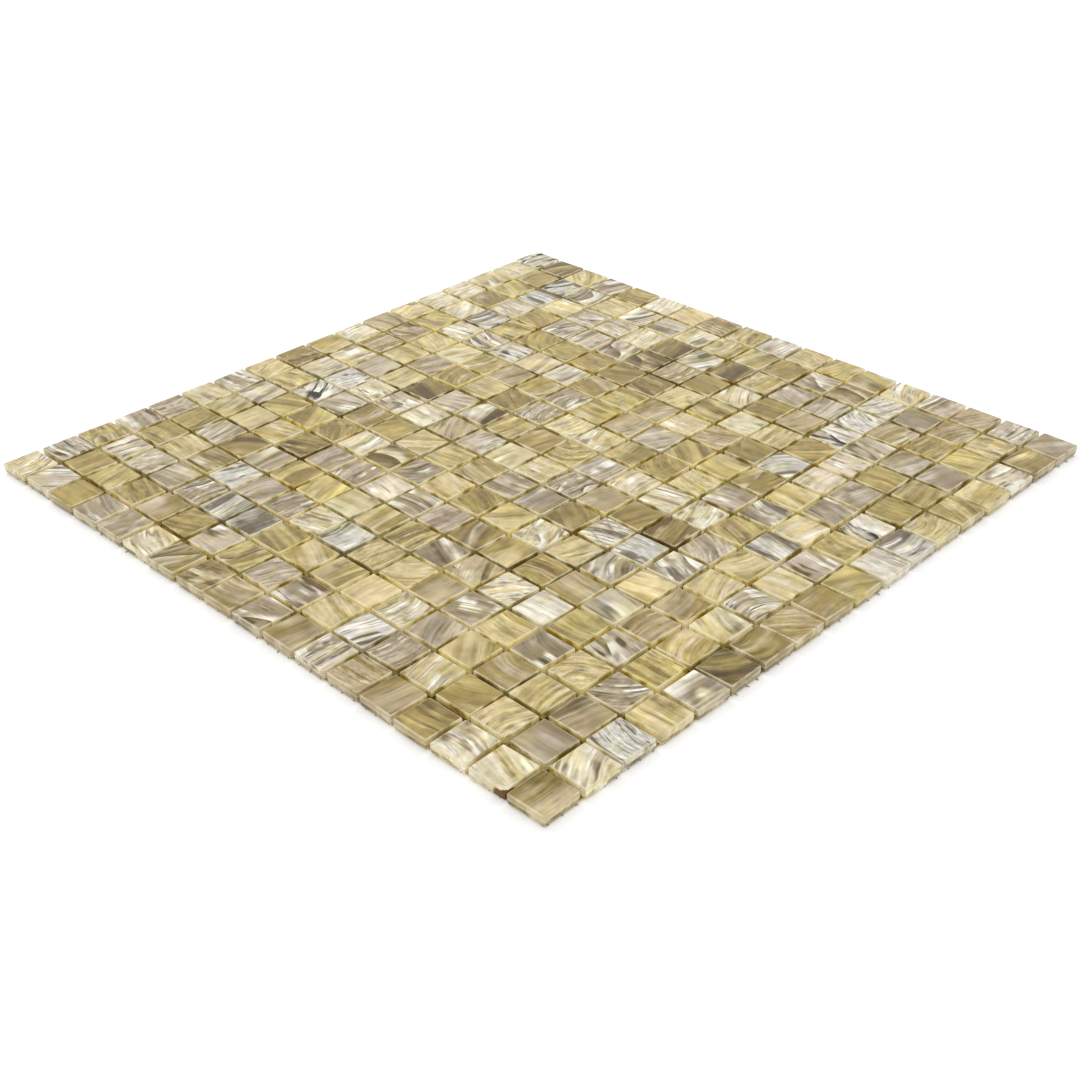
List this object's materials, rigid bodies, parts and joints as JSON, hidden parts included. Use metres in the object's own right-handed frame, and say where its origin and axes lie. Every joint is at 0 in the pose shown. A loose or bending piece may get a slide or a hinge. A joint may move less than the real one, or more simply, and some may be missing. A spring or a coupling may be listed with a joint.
{
  "type": "glass mosaic tile sheet",
  "caption": "Square sheet of small streaked glass mosaic tiles laid in a grid on an open glass-fibre mesh, for facing walls, floors and pools.",
  "frame": {"origin": "middle of the underside of the backing mesh", "axes": "+Z is the outward normal of the show face, up as the sheet lies; rows run along X and are counted from the -Y edge towards +Y"},
  "size_m": [0.2978, 0.2978, 0.0045],
  "materials": {
    "streaked_glass": "gloss",
    "mesh_yarn": "matte"
  },
  "bodies": {
    "root": {"tessera_row_01": "streaked_glass", "tessera_row_02": "streaked_glass", "tessera_row_03": "streaked_glass", "tessera_row_04": "streaked_glass", "tessera_row_05": "streaked_glass", "tessera_row_06": "streaked_glass", "tessera_row_07": "streaked_glass", "tessera_row_08": "streaked_glass", "tessera_row_09": "streaked_glass", "tessera_row_10": "streaked_glass", "tessera_row_11": "streaked_glass", "tessera_row_12": "streaked_glass", "tessera_row_13": "streaked_glass", "tessera_row_14": "streaked_glass", "tessera_row_15": "streaked_glass", "tessera_row_16": "streaked_glass", "tessera_row_17": "streaked_glass", "tessera_row_18": "streaked_glass", "mesh_warp_yarns": "mesh_yarn", "mesh_weft_yarns": "mesh_yarn"}
  },
  "joints": []
}
